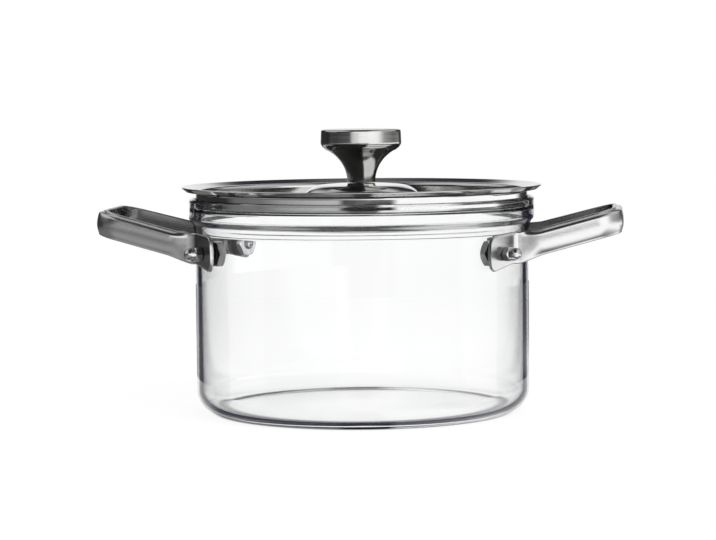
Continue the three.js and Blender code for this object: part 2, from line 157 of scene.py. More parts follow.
# Bolted joints, along the bolt, as distances from the pot's axis
BOLT_RADIUS = 2.5
BOLT_CHAMFER = 0.5
SCREW_HOLE = BOLT_RADIUS + GAP
BORE_CLEAR = 1.0
DRILL_CLEAR = 3.0  # a drill reaches this far past a tab
BOLT_DROP = 10.7
BOLT_HEIGHT = STEP_BOTTOM - BOLT_DROP
BOLT_AZIMUTH = math.radians(31.5)
STRAP_THICKNESS = 2.2
PAD_THICKNESS = 1.3
TAB_INNER = WALL_RADIUS + GAP + PAD_THICKNESS + GAP
HEX_TURN = math.radians(30)  # the corners of a hexagon's ends are turned off at this angle
HEX_EASE = 0.12  # and this much deeper
HEX_FACE_IN = 0.2  # the flat end stops this far inside the flats
DOME_END = 84  # a dome's last ring, in degrees up from its foot
NUT_BASE = TAB_INNER + STRAP_THICKNESS + GAP
NUT_FLATS = 8.0
NUT_HEX_HEIGHT = 4.0
NUT_LENGTH = 10.2
NUT_NECK = 0.15  # height of the ring between the hexagon and the dome
NUT_DOME_RADIUS = 3.7
NUT_END_WALL = 2.8
NUT_BORE_END = NUT_BASE + NUT_LENGTH - NUT_END_WALL
GASKET_FLANGE = 1.6
GASKET_RADIUS = 7.4
GASKET_BEVEL = 0.4
SLEEVE_THICKNESS = 1.0
SLEEVE_RADIUS = SCREW_HOLE + SLEEVE_THICKNESS
GLASS_HOLE = SLEEVE_RADIUS + GAP
FLANGE_FACE = INNER_RADIUS - GAP - GASKET_FLANGE
HEAD_BASE = FLANGE_FACE - GAP
HEAD_FLATS = 14.2
HEAD_HEIGHT = 4.2
HEAD_DOME_RADIUS = 3.6
HEAD_DOME_HEIGHT = HEAD_DOME_RADIUS * 0.75

# Handle strap
STRAP_WIDTH = 15.3
STRAP_CROWN = 2.9
STRAP_PEAK = 0.66  # where the crown is highest, from the strap's middle to its upper edge
STRAP_EDGE = 0.8  # rounding of the strap's edges
STRAP_EDGE_SHARE = 0.45  # the most that the rounding takes of half the strap's height
CROWN_STEPS = 18
HANDLE_CORNER = 14.0
ARM_SLOPE = math.radians(14.7)
ARM_CONVERGE = math.radians(10.0)
BEND_RADIUS = 6.0
BEND_WIDEN = 2.6
BEND_RUNOUT = 14.0
TAB_FREE_LENGTH = 14.3
TAB_BEND_LENGTH = 10.6
TAB_END_HEIGHT = 21.4
TAB_END_DROP = 2.7
TAB_END_ROUND = 5.5
TAB_END_FULLNESS = 2.6
TAB_END_STEPS = 14
BEND_STEPS = 14
RUNOUT_STEPS = 16
CORNER_STEPS = 20
BEND_ABOVE_BOLT = 2.7
LOOP_CENTRE = 118.0  # middle of the space inside the handle, from the pot's axis
BEND_TURN = math.pi / 2 - BOLT_AZIMUTH - ARM_CONVERGE
TAB_HEADING = BOLT_AZIMUTH - math.pi / 2
TAB_FLAT = TAB_BEND_LENGTH - BEND_RADIUS * math.tan(BEND_TURN / 2)
TAB_MIDDLE = TAB_INNER + STRAP_THICKNESS / 2
BEND_HEIGHT = BOLT_HEIGHT + BEND_ABOVE_BOLT
BEND_SPAN = STRAP_WIDTH / math.cos(ARM_SLOPE) + BEND_WIDEN

JOINTS = {
    "right_rear": BOLT_AZIMUTH,
    "right_front": -BOLT_AZIMUTH,
    "left_front": math.pi + BOLT_AZIMUTH,
    "left_rear": math.pi - BOLT_AZIMUTH,
}

# Camera, fitted to the photograph
CAMERA_DISTANCE = 1500.0
CAMERA_HEIGHT = 196.0
CAMERA_AZIMUTH = math.radians(6.0)
CAMERA_ROLL = math.radians(-0.55)
CAMERA_LENS = 125.7
SENSOR_WIDTH = 36.0
AIM_HEIGHT = 84.5
AIM_SIDE = -2.5
CLIP_START = 0.05  # metres

# Lights: place in metres and power in watts
LIGHTS = {
    "key": ((0.9, -1.0, 1.5), 40.0),
    "fill": ((-1.2, -0.8, 1.2), 16.0),
    "rear": ((0.3, 1.3, 1.3), 16.0),
}
LIGHT_SIZE = 1.2  # metres
LIGHT_AIM = (0, 0, 0.07)  # metres

# Materials
EVEN = (1, 1, 1)  # noise that isn't stretched
NOISE_LOW = 0.3  # nearly all of a noise lies between these
NOISE_HIGH = 0.7
GLASS_SHINE = (0.4, 0.4, 0.4, 1.0)  # share of its reflection that the glass keeps where it is met head on
INWARD_FADE = (-0.02, 0.0)  # from the painted shade to the plain steel colour: a face's place from the loop's middle along its normal
WHITE = (1.0, 1.0, 1.0, 1.0)

# Studio: brightness of what the steel mirrors, by degrees from the front towards the right
LEFT_WALL = [
    (-180, 1.0), (-159, 1.0), (-157, 0.04), (-100, 0.04), (-90, 0.20), (-65, 0.26), (-50, 0.48), (-24, 0.7),
]
DARK_FRONT = [(-10, 0.75), (-6, 0.01), (26, 0.01)]
REAR_WALL = [(169, 0.04), (171, 1.0), (180, 1.0)]
WALLS = LEFT_WALL + [(-6, 0.9), (4, 1.6), (52, 1.6), (78, 0.4), (110, 0.1)] + REAR_WALL
LOW_WALLS = LEFT_WALL + DARK_FRONT + [(31, 1.6), (138, 1.6), (148, 0.06)] + REAR_WALL  # below the horizon
SKIRT_WALLS = LEFT_WALL + DARK_FRONT + [(31, 1.6), (112, 1.6), (120, 0.06)] + REAR_WALL  # through the rim
TWICE = [(-180, 0.05), (26, 0.02), (31, 1.6), (112, 1.6), (120, 0.05), (180, 0.05)]  # mirrored twice
TWICE_LOW = [(-180, 0.03), (66, 0.03), (72, 1.4), (150, 1.4), (156, 0.03), (180, 0.03)]  # near the horizon

# Screens before the walls: cover by degrees, heights between which they start, brightness
FRONT_BOX = [(-22, 0.0), (-10, 1.0), (60, 1.0), (70, 0.0)]  # soft box over the camera
LEFT_SCREEN = [(-115, 0.0), (-105, 1.0), (-26, 1.0), (-20, 0.0)]
SIDE_BOXES = [
    (-125, 0.0), (-115, 1.0), (-75, 1.0), (-65, 0.0), (70, 0.0), (80, 1.0), (125, 1.0), (135, 0.0),
]
SCREENS = [
    (FRONT_BOX, (0.05, 0.08), 1.6),
    (LEFT_SCREEN, (0.0, 0.04), 0.02),
    (SIDE_BOXES, (0.12, 0.22), 0.6),
]

# Where one part of the studio gives way to the next, on a sphere of radius 1
WALLS_RISE = (-0.04, 0.02)  # height from LOW_WALLS to WALLS
TWICE_RISE = (0.06, 0.12)  # height from TWICE_LOW to TWICE
SKY_RISE = (0.3, 0.5)  # height from the walls to the sky
BEYOND_RISE = (0.3, 0.45)  # height from white to the ceiling, as seen through glass
REAR_SKY_BACK = (0.2, 0.5)  # the light sky starts this far back
REAR_SKY_UP = (0.62, 0.82)  # and this high
SIDE_SKY_OUT = (0.3, 0.55)  # or this far to either side
SIDE_SKY_UP = (0.3, 0.45)  # and this high
CEILING = (0.04, 0.04, 0.052, 1.0)
OVERHEAD = 0.75  # brightness of the light sky
MATT_LIGHT = 0.55  # brightness of the world for matt surfaces

# Screens that the glass's edges show
EDGE_SCREENS = 4  # pairs of a bright and a dark one
EDGE_BRIGHT = 18.0  # half the width of a bright one, in degrees
EDGE_BRIGHT_RISE = 16.0  # how far it reaches above its middle
EDGE_BRIGHT_FALL = 31.0  # and below
EDGE_MIDDLE = -4.3  # height of its middle
EDGE_FADE = (0.93, 1.07)  # its border, where 1 is its own size
EDGE_LIGHT = 0.95
EDGE_DARK = (0.02, 0.02, 0.04, 1.0)

# Floor: brightness by degrees from the front towards the right
FLOOR_RADIUS = 1000.0
FLOOR_DROP = 0.05  # the floor lies this far under the base
FLOOR_STEPS = 96
TABLE = [
    (-180, 0.1), (-130, 0.15), (-60, 0.15), (-15, 0.15), (0, 0.7), (12, 1.5),
    (110, 1.6), (125, 0.3), (168, 0.1), (180, 0.1),
]
NEAR_TABLE = [
    (-180, 0.9), (-140, 0.10), (-75, 0.10), (-66, 0.40), (0, 0.40), (3, 0.01), (18, 0.01),
    (21, 1.6), (60, 1.6), (66, 0.06), (130, 0.06), (150, 0.9), (180, 0.9),
]
NEAR_FLOOR = [  # close to the pot
    (-180, 0.95), (-75, 0.95), (-60, 0.25), (-20, 0.45), (-4, 0.4), (-1, 0.02), (15, 0.02),
    (19, 1.4), (60, 1.4), (75, 0.95), (180, 0.95),
]
NEAR_REACH = [  # how far out NEAR_FLOOR goes, in metres
    (-180, 0.22), (-95, 0.22), (-80, 0.112), (80, 0.112), (95, 0.22), (180, 0.22),
]
BEHIND_GLASS = [  # the floor as steel behind the glass mirrors it
    (-180, 0.3), (-178, 0.02), (-166, 0.02), (-163, 0.4), (-152, 0.4), (-148, 0.03), (-105, 0.03),
    (-90, 0.12), (-60, 0.25), (-20, 0.45), (-4, 0.4), (-1, 0.02), (15, 0.02), (19, 1.4), (60, 1.4),
    (75, 0.1), (140, 0.1), (168, 1.0), (176, 0.8), (180, 0.3),
]

# Where one part of the floor gives way to the next, in metres from the pot's axis
TABLE_RISE = (0.18, 0.55)  # from NEAR_TABLE to TABLE
DARK_RING = (0.19, 0.22)  # the table's dark inner edge
NEAR_EDGE = (0.0, 0.01)  # past NEAR_REACH
BEHIND_RISE = (0.03, 0.05)  # from the bright middle to BEHIND_GLASS
CONTACT_SHADOW_FADE = (0.001, 0.006)  # painted contact shadow, fading to both sides of the line where the base lifts off the floor
GLOW_RISE = (0.25, 0.8)  # from GLOW_NEAR to the full glow
DARK_RING_TONE = 0.05
TWICE_FLOOR = 0.04  # the floor in steel that mirrors other steel
BEHIND_MIDDLE = 0.95
# colour of the painted contact shadow
CONTACT_SHADOW_TONE = (0.15, 0.15, 0.16, 1.0)
GLOW_NEAR = 0.92  # share of glow near the pot; the rest takes the shadow


# Outlines


def arc(centre, radius, start, end, steps):
    """Points (r, z) of an arc between two angles in degrees."""
    angles = [math.radians(start + (end - start) * i / steps) for i in range(steps + 1)]
    return [(centre[0] + radius * math.cos(a), centre[1] + radius * math.sin(a)) for a in angles]


def bezier(controls, steps):
    """Points of a Bezier curve of any degree."""
    degree = len(controls) - 1
    points = []
    for i in range(steps + 1):
        t = i / steps
        weights = [math.comb(degree, k) * t**k * (1 - t) ** (degree - k) for k in range(degree + 1)]
        points.append(tuple(sum(w * c[axis] for w, c in zip(weights, controls)) for axis in (0, 1)))
    return points


def clean_outline(points):
    """Drops repeats, and holds long straight runs near both ends so that they stay flat when shaded."""
    kept = [points[0]]
    for p in points[1:]:
        start = kept[-1]
        length = math.dist(p, start)
        if length < SAME_POINT:
            continue
        if length > LONG_RUN:
            for share in (FLAT_HOLD / length, 1 - FLAT_HOLD / length):
                kept.append(tuple(a + (b - a) * share for a, b in zip(start, p)))
        kept.append(p)
    return kept


def smoothstep(t):
    t = min(max(t, 0.0), 1.0)
    return t * t * (3 - 2 * t)


# Meshes


def make_object(name, vertices, faces, sharp_angle=SHARP_ANGLE):
    """Smooth-shaded object from points in millimetres, with its sharp edges kept crisp."""
    mesh = bpy.data.meshes.new(name)
    mesh.from_pydata([Vector(v) * MM for v in vertices], [], faces)
    mesh.validate()
    finish_mesh(mesh, sharp_angle)
    obj = bpy.data.objects.new(name, mesh)
    bpy.context.scene.collection.objects.link(obj)
    return obj


def finish_mesh(mesh, sharp_angle):
    mesh.polygons.foreach_set("use_smooth", [True] * len(mesh.polygons))
    mesh.set_sharp_from_angle(angle=math.radians(sharp_angle))
    mesh.update()


def whole_turn(steps):
    return [2 * math.pi * j / steps for j in range(steps)]


def polar_solid(name, rings, steps, sharp_angle=SHARP_ANGLE):
    """Closed skin over rings about Z. A ring gives (r, z) at an angle; it may also be one fixed (r, z) pair.

    A skin that starts on the axis also ends there. Any other closes from its last ring to its first.
    """
    angles = whole_turn(steps)
    vertices, rows = [], []
    for ring in rings:
        if not callable(ring) and ring[0] < SAME_POINT:
            rows.append([len(vertices)] * steps)
            vertices.append((0.0, 0.0, ring[1]))
            continue
        rows.append(list(range(len(vertices), len(vertices) + steps)))
        for a in angles:
            r, z = ring(a) if callable(ring) else ring
            vertices.append((r * math.cos(a), r * math.sin(a), z))
    closes = rows[0][0] != rows[0][1]
    faces = []
    for low, high in zip(rows, rows[1:] + rows[:1] if closes else rows[1:]):
        for j in range(steps):
            k = (j + 1) % steps
            face = [low[j], low[k], high[k], high[j]]
            faces.append(list(dict.fromkeys(face)))
    return make_object(name, vertices, faces, sharp_angle)


def loft(name, loops, sharp_angle=SHARP_ANGLE):
    """Closed skin over a row of equal loops, with both ends filled."""
    count = len(loops[0])
    vertices = [p for loop in loops for p in loop]
    faces = [list(range(count))[::-1], [len(vertices) - count + j for j in range(count)]]
    for i in range(len(loops) - 1):
        for j in range(count):
            k = (j + 1) % count
            a, b = i * count + j, i * count + k
            faces.append([a, b, b + count, a + count])
    return make_object(name, vertices, faces, sharp_angle)


def cut(obj, cutters, sharp_angle):
    """Takes the cutters out of the object for good."""
    for cutter in cutters:
        modifier = obj.modifiers.new("cut", "BOOLEAN")
        modifier.operation = "DIFFERENCE"
        modifier.solver = "EXACT"
        modifier.object = cutter
    graph = bpy.context.evaluated_depsgraph_get()
    mesh = bpy.data.meshes.new_from_object(obj.evaluated_get(graph))
    obj.modifiers.clear()
    obj.data = mesh
    finish_mesh(mesh, sharp_angle)
    for cutter in cutters:
        bpy.data.objects.remove(cutter)


def bolt_frame(azimuth):
    """Turns local Z into the way out of the pot along a bolt."""
    turn = Matrix.Rotation(azimuth, 4, "Z") @ Matrix.Rotation(math.pi / 2, 4, "Y")
    return Matrix.Translation((0, 0, BOLT_HEIGHT * MM)) @ turn


def place(obj, matrix):
    obj.data.transform(matrix)
    return obj


def drill(azimuth, radius, start, end):
    """Cutter for a bolt hole."""
    rings = [(0, start), (radius, start), (radius, end), (0, end)]
    return place(polar_solid("drill", rings, DRILL_STEPS), bolt_frame(azimuth))


# Vessel


def vessel_outline():
    """From the axis under the base, up the outside, over the rim and down the inside."""
    flat_rings = [BASE_FLAT - BASE_HOLD, BASE_FLAT / 2, 0]
    hole_rings = [BOLT_HEIGHT - GASKET_RADIUS + HOLE_RING_IN, BOLT_HEIGHT + GASKET_RADIUS - HOLE_RING_IN]
    corner = (BASE_FLAT, BASE_CORNER)
    flare = (WALL_RADIUS + RIM_FLARE, STEP_BOTTOM + RIM_FLARE_HEIGHT)
    bend = STEP_BOTTOM + RIM_STEP_HEIGHT * RIM_STEP_BEND
    rim_round = RIM_THICKNESS / 2
    points = [(r, 0) for r in reversed(flat_rings)]
    points += arc(corner, BASE_CORNER, -90, 0, 20)
    points += [(WALL_RADIUS, z) for z in hole_rings]
    points += bezier([(WALL_RADIUS, STEP_BOTTOM - RIM_STEP_LEAD), (WALL_RADIUS, STEP_BOTTOM), flare], 6)
    points += bezier([flare, (flare[0], bend), (RIM_RADIUS, bend), (RIM_RADIUS, BAND_BOTTOM)], 14)
    points += arc((RIM_RADIUS - rim_round, RIM_HEIGHT - rim_round), rim_round, 0, 180, 14)
    points += arc((GALLERY_RADIUS - LEDGE_CORNER, LEDGE_HEIGHT + LEDGE_CORNER), LEDGE_CORNER, 0, -90, 5)
    points += arc((INNER_RADIUS + LEDGE_ROUND, LEDGE_HEIGHT - LEDGE_ROUND), LEDGE_ROUND, 90, 180, 8)
    points += [(INNER_RADIUS, z) for z in reversed(hole_rings)]
    points += arc(corner, BASE_CORNER - WALL_THICKNESS, 0, -90, 18)
    points += [(r, WALL_THICKNESS) for r in flat_rings]
    return clean_outline(points)


def build_vessel():
    sharp_angle = 50
    vessel = polar_solid("glass_vessel", vessel_outline(), ROUND_STEPS, sharp_angle)
    start, end = INNER_RADIUS - WALL_THICKNESS, WALL_RADIUS + WALL_THICKNESS
    cut(vessel, [drill(azimuth, GLASS_HOLE, start, end) for azimuth in JOINTS.values()], sharp_angle)
    return vessel


# Lid


def lid_upper_face():
    """From the screw hole out to the lip's edge."""
    flare_top = LIP_TOP - LIP_RISE
    boss_side = BOSS_FOOT_RADIUS - BOSS_TOP_RADIUS
    shoulder = (BOSS_TOP_RADIUS, BOSS_TOP - BOSS_CROWN)
    slope = [
        shoulder,
        (BOSS_TOP_RADIUS + boss_side * BOSS_SHOULDER_PULL, BOSS_TOP - 2 * BOSS_CROWN),
        (BOSS_TOP_RADIUS + boss_side * BOSS_FOOT_PULL, PAN_FLOOR),
        (BOSS_FOOT_RADIUS, PAN_FLOOR),
    ]
    flare = [(PAN_WALL, flare_top - LIP_FLARE), (PAN_WALL, flare_top), (PAN_WALL + LIP_FLARE, flare_top)]
    edge = [
        (LIP_RADIUS - LIP_ROUND_IN, LIP_TOP - LIP_ROUND_DOWN),
        (LIP_RADIUS, LIP_TOP),
        (LIP_RADIUS, LIP_TOP - SHEET),
    ]
    points = bezier([(SCREW_HOLE, BOSS_TOP), (BOSS_TOP_RADIUS / 2, BOSS_TOP), shoulder], 8)
    points += bezier(slope, 20)
    points += arc((PAN_WALL - PAN_CORNER, PAN_FLOOR + PAN_CORNER), PAN_CORNER, -90, 0, 10)
    points += bezier(flare, 10)
    points += bezier(edge, 5)
    return clean_outline(points)


def sheet_underside(upper):
    """The upper face moved down through the sheet's thickness."""
    lower = []
    for i, (r, z) in enumerate(upper):
        before, after = upper[max(i - 1, 0)], upper[min(i + 1, len(upper) - 1)]
        length = math.dist(before, after)
        across = ((after[1] - before[1]) / length, (before[0] - after[0]) / length)
        lower.append((r + across[0] * SHEET, z + across[1] * SHEET))
    lower[0] = (upper[0][0], lower[0][1])
    return lower


def build_lid():
    upper = lid_upper_face()
    under = [p for p in sheet_underside(upper) if p[0] < PAN_WALL + LIP_FLARE]
    r, z = LIP_RADIUS - LIP_UNDERCUT, LIP_TOP - LIP_EDGE
    hem = bezier([(r - HEM_IN, z), (r, z), (r + HEM_OUT, z + HEM_UP)], 4)
    return polar_solid("lid_pan", under + hem + upper[::-1], ROUND_STEPS, sharp_angle=40)


def build_knob():
    disc_bottom = KNOB_TOP - KNOB_EDGE - KNOB_BAND
    flare_top = disc_bottom - KNOB_BEVEL
    flare_radius = KNOB_RADIUS - KNOB_BEVEL_IN
    neck_height = flare_top - KNOB_BASE
    crown_base = KNOB_TOP - KNOB_CROWN
    bore_end = KNOB_BASE + KNOB_BORE_DEPTH
    band_top = KNOB_RADIUS - KNOB_TAPER
    crown_radius = band_top - KNOB_EDGE
    neck = [
        (NECK_RADIUS, KNOB_BASE + NECK_CHAMFER),
        (NECK_RADIUS, KNOB_BASE + neck_height * NECK_LOW_PULL),
        (NECK_RADIUS + (flare_radius - NECK_RADIUS) / 3, KNOB_BASE + neck_height * NECK_HIGH_PULL),
        (flare_radius, flare_top),
    ]
    bevel = [
        (flare_radius + BEVEL_LEAD_OUT, flare_top + BEVEL_LEAD_UP),
        (KNOB_RADIUS, disc_bottom - KNOB_BEVEL / 2),
        (KNOB_RADIUS, disc_bottom),
    ]
    edge = [(band_top, KNOB_TOP - KNOB_EDGE), (band_top, crown_base), (crown_radius, crown_base)]
    points = [(0, bore_end), (SCREW_HOLE, bore_end), (SCREW_HOLE, KNOB_BASE)]
    points += [(NECK_RADIUS - NECK_CHAMFER, KNOB_BASE)]
    points += bezier(neck, 22) + bezier(bevel, 12) + bezier(edge, 8)
    points += bezier([(crown_radius, crown_base), (KNOB_RADIUS / 2, KNOB_TOP), (0, KNOB_TOP)], 12)
    return polar_solid("turned_knob", clean_outline(points), KNOB_STEPS, sharp_angle=24)


def build_washer():
    bevelled = WASHER_RADIUS - WASHER_BEVEL
    rings = [
        (SCREW_HOLE, WASHER_LOW),
        (bevelled, WASHER_LOW),
        (WASHER_RADIUS, WASHER_LOW + WASHER_BEVEL),
        (WASHER_RADIUS, WASHER_TOP - WASHER_BEVEL),
        (bevelled, WASHER_TOP),
        (SCREW_HOLE, WASHER_TOP),
    ]
    return polar_solid("lid_washer", rings, RING_STEPS)


def build_screw():
    crown = SCREW_SEAT - SCREW_HEAD_HEIGHT
    bottom = crown + SOCKET_DEPTH
    socket = hex_ring(SOCKET_FLATS)
    rings = [(0, bottom), lambda a: (socket(a), bottom), lambda a: (socket(a), crown)]
    rings += bezier([(SOCKET_MOUTH, crown), (SCREW_HEAD_RADIUS, crown), (SCREW_HEAD_RADIUS, SCREW_SEAT)], 8)
    rings += shank(SCREW_SEAT, KNOB_BASE + KNOB_BORE_DEPTH - BORE_CLEAR)
    return polar_solid("lid_screw", rings, SCREW_STEPS)


# Bolted joints


def hex_ring(flats):
    """Radius of a hexagon at an angle."""
    return lambda a: flats / 2 / math.cos((a + math.pi / 6) % (math.pi / 3) - math.pi / 6)


def hex_walls(flats, low, high):
    """Rings of a hexagon's sides, with the corners of both ends turned off."""
    radius = hex_ring(flats)
    face = flats / 2 - HEX_FACE_IN

    def drop(a):
        return (radius(a) - flats / 2) * math.tan(HEX_TURN) + HEX_EASE

    return [
        (face, low),
        lambda a: (radius(a), low + drop(a)),
        lambda a: (radius(a), high - drop(a)),
        (face, high),
    ]


def shank(start, end):
    """Rings of a bolt's shank and its chamfered end."""
    chamfer = end - BOLT_CHAMFER
    return [(BOLT_RADIUS, start), (BOLT_RADIUS, chamfer), (BOLT_RADIUS - BOLT_CHAMFER, end), (0, end)]


def build_nut(name):
    hex_top = NUT_BASE + NUT_HEX_HEIGHT
    dome_base = NUT_BASE + NUT_LENGTH - NUT_DOME_RADIUS
    rings = [(0, NUT_BORE_END), (SCREW_HOLE, NUT_BORE_END), (SCREW_HOLE, NUT_BASE)]
    rings += hex_walls(NUT_FLATS, NUT_BASE, hex_top)
    rings += [(NUT_DOME_RADIUS, hex_top + NUT_NECK)]
    rings += arc((0, dome_base), NUT_DOME_RADIUS, 0, DOME_END, 10)
    rings += [(0, dome_base + NUT_DOME_RADIUS)]
    return polar_solid(name, rings, HEX_STEPS, sharp_angle=26)


def build_bolt(name):
    head_end = HEAD_BASE - HEAD_HEIGHT
    rings = [(0, head_end - HEAD_DOME_HEIGHT)]
    for r, z in arc((0, 0), 1.0, DOME_END, 0, 10):
        rings.append((r * HEAD_DOME_RADIUS, head_end - z * HEAD_DOME_HEIGHT))
    rings += hex_walls(HEAD_FLATS, head_end, HEAD_BASE)
    rings += shank(HEAD_BASE, NUT_BORE_END - BORE_CLEAR)
    return polar_solid(name, rings, HEX_STEPS, sharp_angle=26)


def build_inner_gasket(name):
    back_radius = INNER_RADIUS - GAP

    def back(r):
        """Ring on the hollow of the glass's inside."""
        return lambda a: (r, math.sqrt(back_radius**2 - (r * math.sin(a)) ** 2))

    rings = [
        (SCREW_HOLE, FLANGE_FACE),
        (GASKET_RADIUS - GASKET_BEVEL, FLANGE_FACE),
        (GASKET_RADIUS, FLANGE_FACE + GASKET_BEVEL),
        back(GASKET_RADIUS),
        back((GASKET_RADIUS + SLEEVE_RADIUS) / 2),
        back(SLEEVE_RADIUS),
        (SLEEVE_RADIUS, WALL_RADIUS),
        (SCREW_HOLE, WALL_RADIUS),
    ]
    return polar_solid(name, rings, RING_STEPS)


# Handle strap


def tab_point(along):
    """Place in plan on the tab's middle, along it from the bolt towards the bend."""
    s, c = math.sin(BOLT_AZIMUTH), math.cos(BOLT_AZIMUTH)
    return c * TAB_MIDDLE + s * along, s * TAB_MIDDLE - c * along


def tab_span(along):
    """Middle height and full height of the tab."""
    towards_end = (TAB_FLAT - along) / (TAB_FLAT + TAB_FREE_LENGTH)
    from_end = min((along + TAB_FREE_LENGTH) / TAB_END_ROUND, 1.0)
    rounding = (1 - (1 - from_end) ** TAB_END_FULLNESS) ** (1 / TAB_END_FULLNESS)
    height = BEND_SPAN + (TAB_END_HEIGHT - BEND_SPAN) * towards_end
    return BEND_HEIGHT - TAB_END_DROP * towards_end, height * rounding


def arc_stations(corner, heading, turn, radius, steps):
    """Rounds a corner where the heading turns: (x, y, heading) along the arc."""
    side = math.copysign(1.0, turn)
    setback = radius * math.tan(abs(turn) / 2)
    centre_x = corner[0] - math.cos(heading) * setback - math.sin(heading) * side * radius
    centre_y = corner[1] - math.sin(heading) * setback + math.cos(heading) * side * radius
    stations = []
    for i in range(steps + 1):
        h = heading + turn * i / steps
        x = centre_x + math.sin(h) * side * radius
        y = centre_y - math.cos(h) * side * radius
        stations.append((x, y, h))
    return stations


def crown_fall(share):
    """How far the crown has fallen from its peak, at a place between the strap's lower and upper edge."""
    away = abs(share - STRAP_PEAK)
    if share > STRAP_PEAK:
        return (away / (1 - STRAP_PEAK)) ** 2
    return (away / (1 + STRAP_PEAK)) ** 3


def section_corners(height, crown):
    """Section of the strap as (across, depth) points: flat inside, crowned outside, with rounded edges."""
    half, deep = height / 2, STRAP_THICKNESS / 2
    edge = min(STRAP_EDGE, half * STRAP_EDGE_SHARE)
    reach = half - edge
    points = arc((reach, -deep + edge), edge, 0, -90, 4)
    points += arc((-reach, -deep + edge), edge, -90, -180, 4)
    points += arc((-reach, deep - edge), edge, 180, 90, 4)
    for i in range(1, CROWN_STEPS):
        share = -1 + 2 * i / CROWN_STEPS
        points.append((share * reach, deep + crown * (1 - crown_fall(share))))
    return points + arc((reach, deep - edge), edge, 90, 0, 4)


def strap_section(station):
    """Points of the strap's section at a station of its loop."""
    x, y, z, heading, lean, height = station
    tilt = ARM_SLOPE * lean
    across = Vector((-math.sin(tilt), 0, math.cos(tilt)))
    along = Vector((math.cos(heading), math.sin(heading), math.tan(tilt) * math.cos(heading)))
    out = across.cross(along).normalized()
    middle = Vector((x, y, z))
    return [middle + across * a + out * d for a, d in section_corners(height, STRAP_CROWN * lean)]


def bar_reach():
    """How far out the outer bar's middle lies, so that its crown ends at the handle's reach."""
    corners = section_corners(STRAP_WIDTH, STRAP_CROWN)
    return HANDLE_REACH - max(d * math.cos(ARM_SLOPE) - a * math.sin(ARM_SLOPE) for a, d in corners)


def ahead(station, distance):
    """The place that lies a distance further along a station's heading."""
    x, y, heading = station
    return x + distance * math.cos(heading), y + distance * math.sin(heading), heading


def tab_stations():
    """From the tab's rounded free end to its bend."""
    turns = [i / TAB_END_STEPS * math.pi / 2 for i in range(1, TAB_END_STEPS + 1)]
    places = [-TAB_FREE_LENGTH + TAB_END_ROUND * (1 - math.cos(a)) for a in turns]
    places += [FLAT_HOLD - TAB_FREE_LENGTH + TAB_END_ROUND, 0.0, TAB_FLAT - FLAT_HOLD]
    stations = []
    for along in places:
        middle, height = tab_span(along)
        stations.append((*tab_point(along), middle, TAB_HEADING, 0.0, height))
    return stations


def half_loop():
    """From the free end of the tab at +Y to the start of the outer bar.

    A station is x, y, z, heading in plan, share of the arm's slope and crown, and height of the strap.
    """
    bend = tab_point(TAB_BEND_LENGTH)
    bend_arc = arc_stations(bend, TAB_HEADING, BEND_TURN, BEND_RADIUS, BEND_STEPS)
    arm_x, arm_y, _ = bend_arc[-1]
    bar_x = bar_reach()
    bar_corner = (bar_x, bend[1] - (bar_x - bend[0]) * math.tan(ARM_CONVERGE))
    bar_arc = arc_stations(
        bar_corner, -ARM_CONVERGE, ARM_CONVERGE - math.pi / 2, HANDLE_CORNER, CORNER_STEPS
    )

    def arm_height(x):
        return BEND_HEIGHT + (x - arm_x) * math.tan(ARM_SLOPE)

    stations = tab_stations()
    stations += [(x, y, BEND_HEIGHT, heading, 0.0, BEND_SPAN) for x, y, heading in bend_arc]
    for i in range(1, RUNOUT_STEPS + 1):
        lean = smoothstep(i / RUNOUT_STEPS)
        x = arm_x + BEND_RUNOUT * i / RUNOUT_STEPS * math.cos(ARM_CONVERGE)
        y = arm_y - BEND_RUNOUT * i / RUNOUT_STEPS * math.sin(ARM_CONVERGE)
        height = BEND_SPAN + (STRAP_WIDTH - BEND_SPAN) * lean
        stations.append((x, y, arm_height(x), -ARM_CONVERGE, lean, height))
    held_arc = [ahead(bar_arc[0], -FLAT_HOLD)] + bar_arc + [ahead(bar_arc[-1], FLAT_HOLD)]
    stations += [(x, y, arm_height(x), heading, 1.0, STRAP_WIDTH) for x, y, heading in held_arc]
    return stations


def mirrored(station):
    """The same station on the other side of the handle, met on the way back."""
    x, y, z, heading, lean, height = station
    return x, -y, z, -math.pi - heading, lean, height


def build_strap(name):
    sharp_angle = 35
    half = half_loop()
    stations = half + [mirrored(s) for s in reversed(half)]
    strap = loft(name, [strap_section(s) for s in stations], sharp_angle)
    start, end = TAB_INNER - DRILL_CLEAR, NUT_BASE + DRILL_CLEAR
    cut(strap, [drill(side * BOLT_AZIMUTH, SCREW_HOLE, start, end) for side in (-1, 1)], sharp_angle)
    return strap


# Shader nodes


